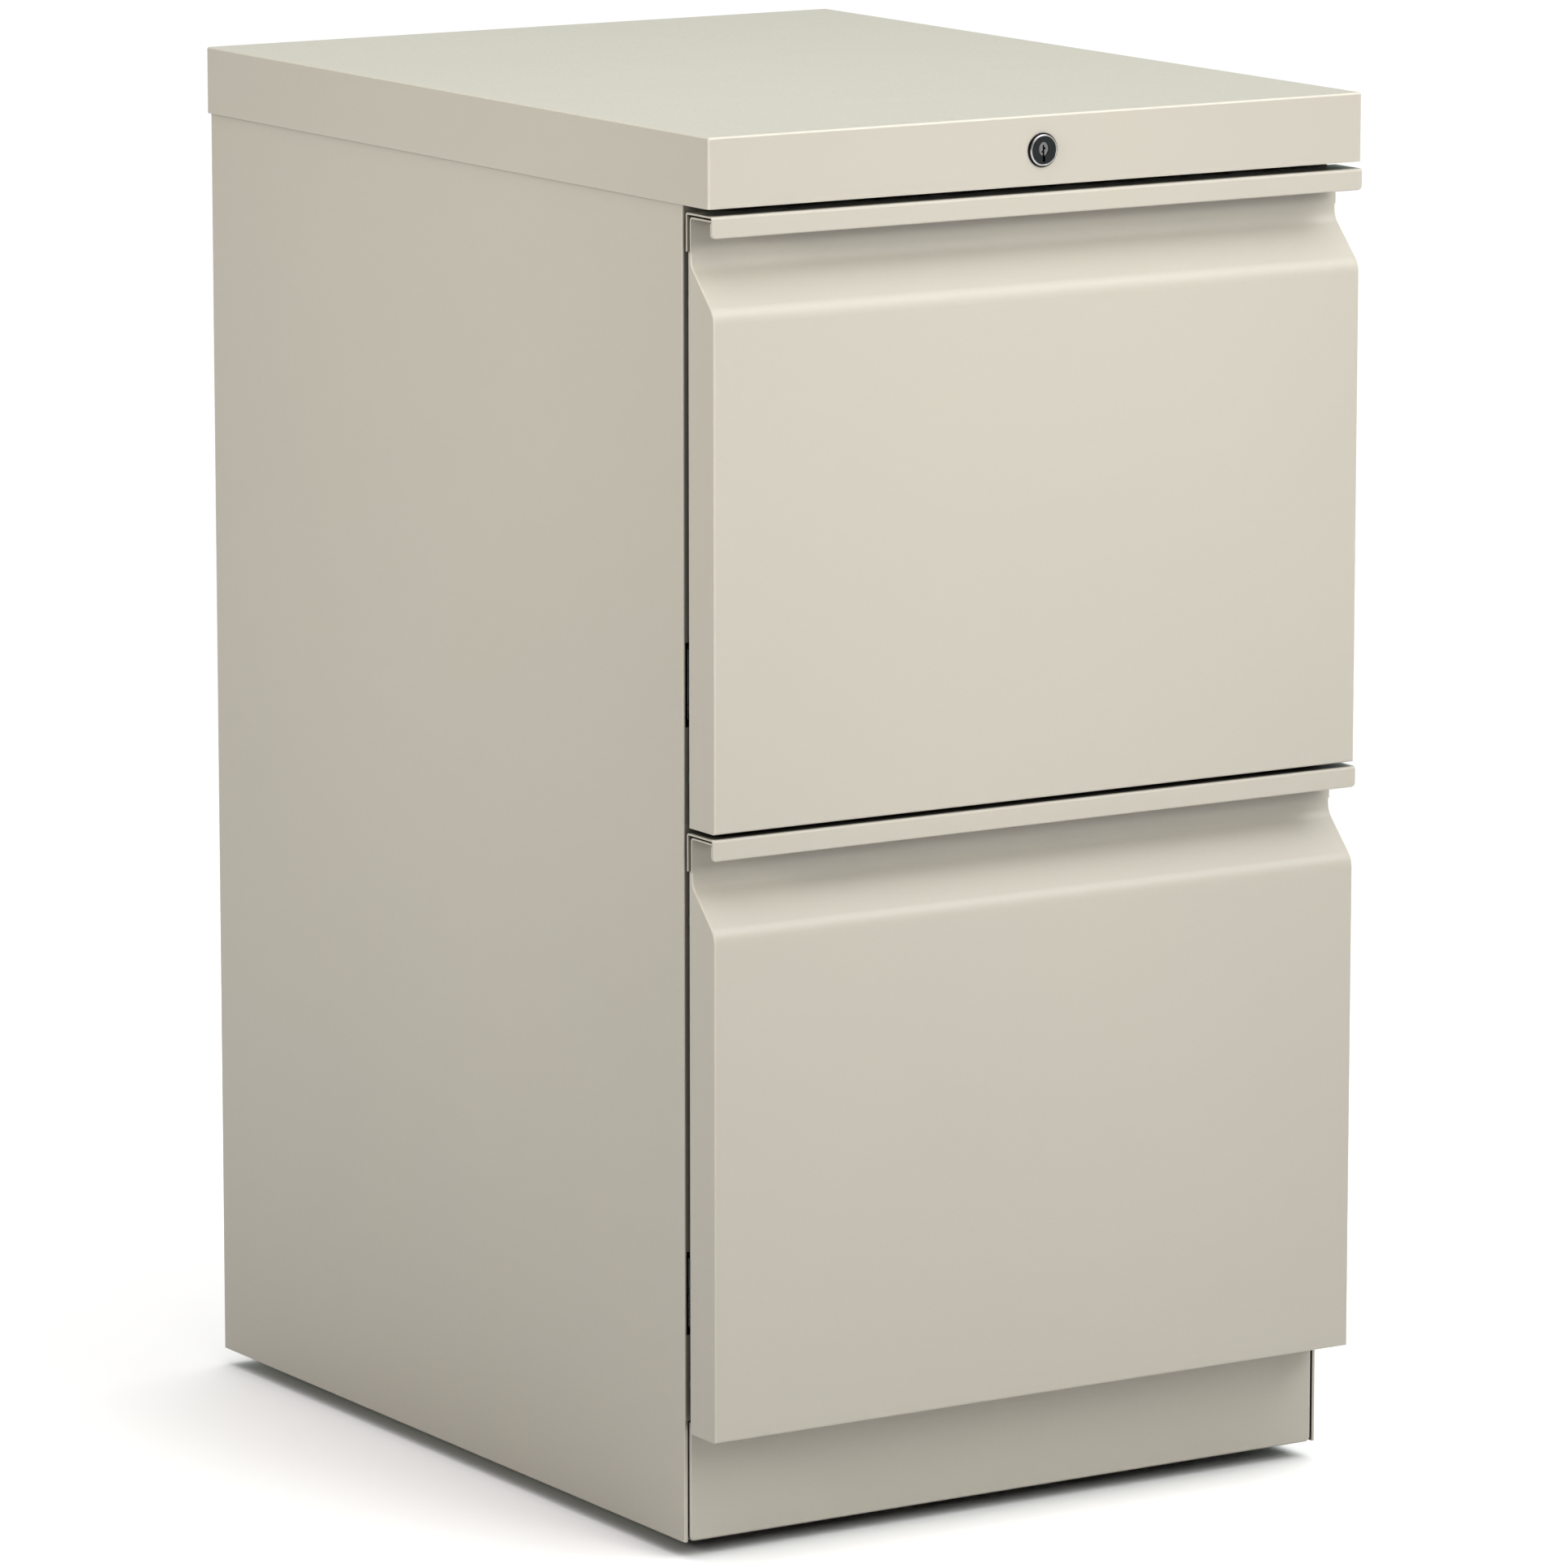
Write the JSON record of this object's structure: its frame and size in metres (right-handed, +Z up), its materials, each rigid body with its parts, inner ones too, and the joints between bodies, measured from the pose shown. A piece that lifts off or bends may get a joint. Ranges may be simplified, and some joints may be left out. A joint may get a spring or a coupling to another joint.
{
  "type": "mobile pedestal file cabinet",
  "caption": "Painted steel pedestal cabinet with equal file drawers on ball-bearing slides, recessed radius pulls, a bar lock and recessed swivel casters.",
  "frame": {"origin": "on the floor under the centre of the overall box", "axes": "+Z up, +Y towards the back, +X to the right when facing the drawers"},
  "size_m": [0.385, 0.505, 0.711],
  "materials": {
    "case_paint": "fine-textured powder coat, satin",
    "front_paint": "fine-textured powder coat, satin",
    "box_paint": "powder coat, satin",
    "counterweight_iron": "black primer, matt",
    "lock_chrome": "polished nickel",
    "lock_dark": "black nickel, satin",
    "lock_steel": "satin zinc",
    "caster_zinc": "bright zinc plate",
    "rail_zinc": "bright zinc plate",
    "slide_zinc": "bright zinc plate",
    "cage_steel": "plain steel",
    "bumper_rubber": "matt",
    "wheel_plastic": "matt moulded nylon"
  },
  "bodies": {
    "case": {"top_cap": "case_paint", "left_side_panel": "case_paint", "right_side_panel": "case_paint", "back_panel": "case_paint", "base_pan": "case_paint", "kick_panel": "case_paint", "counterweight": "counterweight_iron", "front_top_rail": "case_paint", "lock_housing": "lock_chrome", "lock_nut": "lock_steel", "lock_bar_guides": "case_paint", "caster_plates": "caster_zinc", "caster_kingpins": "caster_zinc", "base_screws": "caster_zinc", "upper_slide_cabinet_members": "slide_zinc", "lower_slide_cabinet_members": "slide_zinc"},
    "lock_cylinder": {"lock_plug": "lock_dark", "lock_core": "lock_chrome", "lock_rod": "lock_steel"},
    "locking_bar": {"lock_bar": "lock_steel"},
    "upper_drawer": {"upper_drawer_front": "front_paint", "upper_drawer_inner_front": "front_paint", "upper_drawer_left_side": "box_paint", "upper_drawer_right_side": "box_paint", "upper_drawer_bottom": "box_paint", "upper_drawer_back": "box_paint", "upper_hanging_rails": "rail_zinc", "upper_drawer_catch": "box_paint", "upper_drawer_bumpers": "bumper_rubber", "upper_front_screws": "rail_zinc", "upper_slide_drawer_members": "slide_zinc"},
    "upper_slide_middles": {"upper_slide_middle_members": "slide_zinc"},
    "upper_outer_cages": {"upper_slide_outer_ball_cages": "cage_steel"},
    "upper_inner_cages": {"upper_slide_inner_ball_cages": "cage_steel"},
    "lower_drawer": {"lower_drawer_front": "front_paint", "lower_drawer_inner_front": "front_paint", "lower_drawer_left_side": "box_paint", "lower_drawer_right_side": "box_paint", "lower_drawer_bottom": "box_paint", "lower_drawer_back": "box_paint", "lower_hanging_rails": "rail_zinc", "lower_drawer_catch": "box_paint", "lower_drawer_bumpers": "bumper_rubber", "lower_front_screws": "rail_zinc", "lower_slide_drawer_members": "slide_zinc"},
    "lower_slide_middles": {"lower_slide_middle_members": "slide_zinc"},
    "lower_outer_cages": {"lower_slide_outer_ball_cages": "cage_steel"},
    "lower_inner_cages": {"lower_slide_inner_ball_cages": "cage_steel"},
    "front_left_swivel": {"front_left_caster_fork": "caster_zinc", "front_left_caster_axle": "caster_zinc"},
    "front_left_wheel": {"front_left_caster_wheel": "wheel_plastic"},
    "front_right_swivel": {"front_right_caster_fork": "caster_zinc", "front_right_caster_axle": "caster_zinc"},
    "front_right_wheel": {"front_right_caster_wheel": "wheel_plastic"},
    "rear_left_swivel": {"rear_left_caster_fork": "caster_zinc", "rear_left_caster_axle": "caster_zinc"},
    "rear_left_wheel": {"rear_left_caster_wheel": "wheel_plastic"},
    "rear_right_swivel": {"rear_right_caster_fork": "caster_zinc", "rear_right_caster_axle": "caster_zinc"},
    "rear_right_wheel": {"rear_right_caster_wheel": "wheel_plastic"}
  },
  "joints": [
    {"name": "upper_drawer_slide", "type": "slide", "parent": "case", "child": "upper_drawer", "axis": [0, -1, 0], "range_m": [0, 0.43]},
    {"name": "upper_middle_slide", "type": "slide", "parent": "case", "child": "upper_slide_middles", "axis": [0, -1, 0], "range_m": [0, 0.215]},
    {"name": "upper_outer_cage_slide", "type": "slide", "parent": "case", "child": "upper_outer_cages", "axis": [0, -1, 0], "range_m": [0, 0.1075]},
    {"name": "upper_inner_cage_slide", "type": "slide", "parent": "case", "child": "upper_inner_cages", "axis": [0, -1, 0], "range_m": [0, 0.3225]},
    {"name": "lower_drawer_slide", "type": "slide", "parent": "case", "child": "lower_drawer", "axis": [0, -1, 0], "range_m": [0, 0.43]},
    {"name": "lower_middle_slide", "type": "slide", "parent": "case", "child": "lower_slide_middles", "axis": [0, -1, 0], "range_m": [0, 0.215]},
    {"name": "lower_outer_cage_slide", "type": "slide", "parent": "case", "child": "lower_outer_cages", "axis": [0, -1, 0], "range_m": [0, 0.1075]},
    {"name": "lower_inner_cage_slide", "type": "slide", "parent": "case", "child": "lower_inner_cages", "axis": [0, -1, 0], "range_m": [0, 0.3225]},
    {"name": "lock_turn", "type": "hinge", "parent": "case", "child": "lock_cylinder", "pos_m": [0, -0.2507, 0.6936], "axis": [0, -1, 0], "range_deg": [0, 90]},
    {"name": "lock_bar_lift", "type": "slide", "parent": "case", "child": "locking_bar", "axis": [0, 0, 1], "range_m": [0, 0.01415]},
    {"name": "front_left_swivel_turn", "type": "hinge", "parent": "case", "child": "front_left_swivel", "pos_m": [-0.145, -0.178, 0.049], "axis": [0, 0, 1], "continuous": true},
    {"name": "front_left_wheel_spin", "type": "hinge", "parent": "front_left_swivel", "child": "front_left_wheel", "pos_m": [-0.145, -0.164, 0.02], "axis": [1, 0, 0], "continuous": true},
    {"name": "front_right_swivel_turn", "type": "hinge", "parent": "case", "child": "front_right_swivel", "pos_m": [0.145, -0.178, 0.049], "axis": [0, 0, 1], "continuous": true},
    {"name": "front_right_wheel_spin", "type": "hinge", "parent": "front_right_swivel", "child": "front_right_wheel", "pos_m": [0.145, -0.164, 0.02], "axis": [1, 0, 0], "continuous": true},
    {"name": "rear_left_swivel_turn", "type": "hinge", "parent": "case", "child": "rear_left_swivel", "pos_m": [-0.145, 0.203, 0.049], "axis": [0, 0, 1], "continuous": true},
    {"name": "rear_left_wheel_spin", "type": "hinge", "parent": "rear_left_swivel", "child": "rear_left_wheel", "pos_m": [-0.145, 0.217, 0.02], "axis": [1, 0, 0], "continuous": true},
    {"name": "rear_right_swivel_turn", "type": "hinge", "parent": "case", "child": "rear_right_swivel", "pos_m": [0.145, 0.203, 0.049], "axis": [0, 0, 1], "continuous": true},
    {"name": "rear_right_wheel_spin", "type": "hinge", "parent": "rear_right_swivel", "child": "rear_right_wheel", "pos_m": [0.145, 0.217, 0.02], "axis": [1, 0, 0], "continuous": true}
  ],
  "couplings": [
    {"joint": "upper_middle_slide", "follows": "upper_drawer_slide", "ratio": 0.5},
    {"joint": "upper_outer_cage_slide", "follows": "upper_drawer_slide", "ratio": 0.25},
    {"joint": "upper_inner_cage_slide", "follows": "upper_drawer_slide", "ratio": 0.75},
    {"joint": "lower_middle_slide", "follows": "lower_drawer_slide", "ratio": 0.5},
    {"joint": "lower_outer_cage_slide", "follows": "lower_drawer_slide", "ratio": 0.25},
    {"joint": "lower_inner_cage_slide", "follows": "lower_drawer_slide", "ratio": 0.75},
    {"joint": "lock_bar_lift", "follows": "lock_turn", "m_per_rad": 0.0090032}
  ]
}
